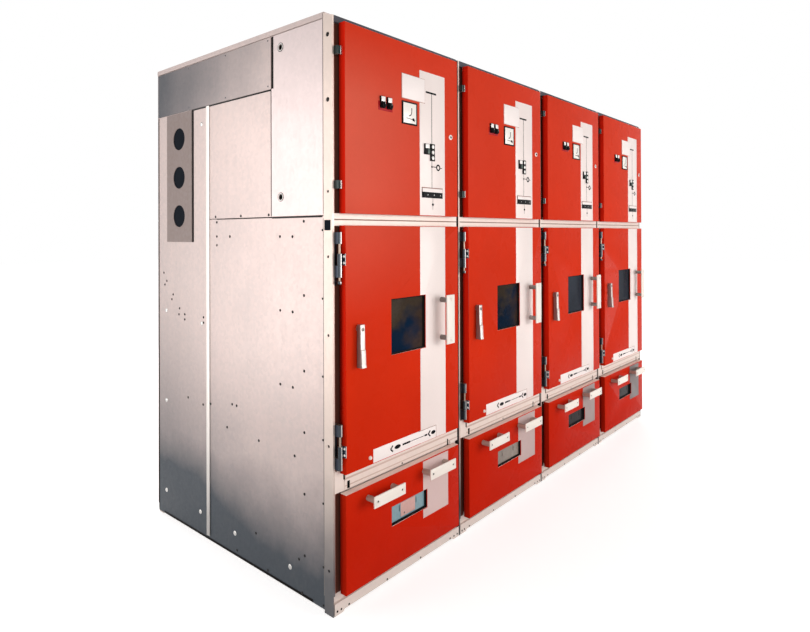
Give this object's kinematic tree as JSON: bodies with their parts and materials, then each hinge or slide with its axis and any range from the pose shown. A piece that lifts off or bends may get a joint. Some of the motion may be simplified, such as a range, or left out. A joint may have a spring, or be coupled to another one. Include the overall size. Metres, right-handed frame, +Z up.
{
  "type": "medium voltage switchgear",
  "caption": "Row of galvanised steel switchgear cubicles with red enamelled instrument doors, hinged breaker doors with windows and pull handles, and cable covers.",
  "frame": {"origin": "middle of the floor area that the row covers, handles included", "axes": "+X along the row to the right as seen from the doors, +Y from the doors to the back, +Z up"},
  "size_m": [3.2, 1.418, 2.265],
  "materials": {
    "galvanised_steel": "galvanised, soft satin with faint spangle",
    "red_enamel": "glossy orange-red enamel",
    "cream_enamel": "semi-gloss cream white enamel",
    "black_plastic": "black moulded plastic",
    "white_plastic": "matt white",
    "pale_plastic": "pale blue-grey, satin",
    "glass": "dark inspection glass",
    "dark_steel": "dark blue-grey steel, satin",
    "bright_steel": "bright satin steel"
  },
  "bodies": {
    "row": {"base_rails": "galvanised_steel", "base_side_rails": "galvanised_steel", "floor_plates": "galvanised_steel", "roof_plates": "galvanised_steel", "side_walls": "galvanised_steel", "inner_walls": "galvanised_steel", "compartment_shelves": "galvanised_steel", "front_posts": "galvanised_steel", "door_frames": "galvanised_steel", "head_rails": "galvanised_steel", "upper_rails": "galvanised_steel", "lower_rails": "galvanised_steel", "column_plugs": "black_plastic", "end_wall_sheets": "galvanised_steel", "end_fold_strips": "galvanised_steel", "end_box_plates": "galvanised_steel", "end_duct_covers": "galvanised_steel", "end_busbar_plates": "galvanised_steel", "end_busbar_caps": "black_plastic", "rear_covers": "galvanised_steel", "cable_covers": "red_enamel", "cable_cover_handles": "cream_enamel", "cable_windows": "pale_plastic", "frame_hinges": "dark_steel", "small_hinges": "dark_steel", "instrument_doors": "red_enamel", "meters": "black_plastic", "label_plates": "white_plastic", "selector_switches": "black_plastic", "control_switches": "black_plastic", "position_indicators": "black_plastic", "annunciators": "black_plastic", "door_locks": "bright_steel"},
    "door_1": {"breaker_door_1": "red_enamel", "door_window_1": "glass", "pull_handle_1": "cream_enamel"},
    "door_2": {"breaker_door_2": "red_enamel", "door_window_2": "glass", "pull_handle_2": "cream_enamel"},
    "door_3": {"breaker_door_3": "red_enamel", "door_window_3": "glass", "pull_handle_3": "cream_enamel"},
    "door_4": {"breaker_door_4": "red_enamel", "door_window_4": "glass", "pull_handle_4": "cream_enamel"},
    "lever_1": {"lever_1": "bright_steel"},
    "lever_2": {"lever_2": "bright_steel"},
    "lever_3": {"lever_3": "bright_steel"},
    "lever_4": {"lever_4": "bright_steel"}
  },
  "joints": [
    {"name": "door_1_hinge", "type": "hinge", "parent": "row", "child": "door_1", "pos_m": [-1.581, -0.639, 0.992], "axis": [0, 0, -1], "range_deg": [0, 105]},
    {"name": "lever_1_pivot", "type": "hinge", "parent": "door_1", "child": "lever_1", "pos_m": [-1.5, -0.661, 1.065], "axis": [0, -1, 0], "range_deg": [0, 90]},
    {"name": "door_2_hinge", "type": "hinge", "parent": "row", "child": "door_2", "pos_m": [-0.781, -0.639, 0.992], "axis": [0, 0, -1], "range_deg": [0, 105]},
    {"name": "lever_2_pivot", "type": "hinge", "parent": "door_2", "child": "lever_2", "pos_m": [-0.7, -0.661, 1.065], "axis": [0, -1, 0], "range_deg": [0, 90]},
    {"name": "door_3_hinge", "type": "hinge", "parent": "row", "child": "door_3", "pos_m": [0.019, -0.639, 0.992], "axis": [0, 0, -1], "range_deg": [0, 105]},
    {"name": "lever_3_pivot", "type": "hinge", "parent": "door_3", "child": "lever_3", "pos_m": [0.1, -0.661, 1.065], "axis": [0, -1, 0], "range_deg": [0, 90]},
    {"name": "door_4_hinge", "type": "hinge", "parent": "row", "child": "door_4", "pos_m": [0.819, -0.639, 0.992], "axis": [0, 0, -1], "range_deg": [0, 105]},
    {"name": "lever_4_pivot", "type": "hinge", "parent": "door_4", "child": "lever_4", "pos_m": [0.9, -0.661, 1.065], "axis": [0, -1, 0], "range_deg": [0, 90]}
  ]
}
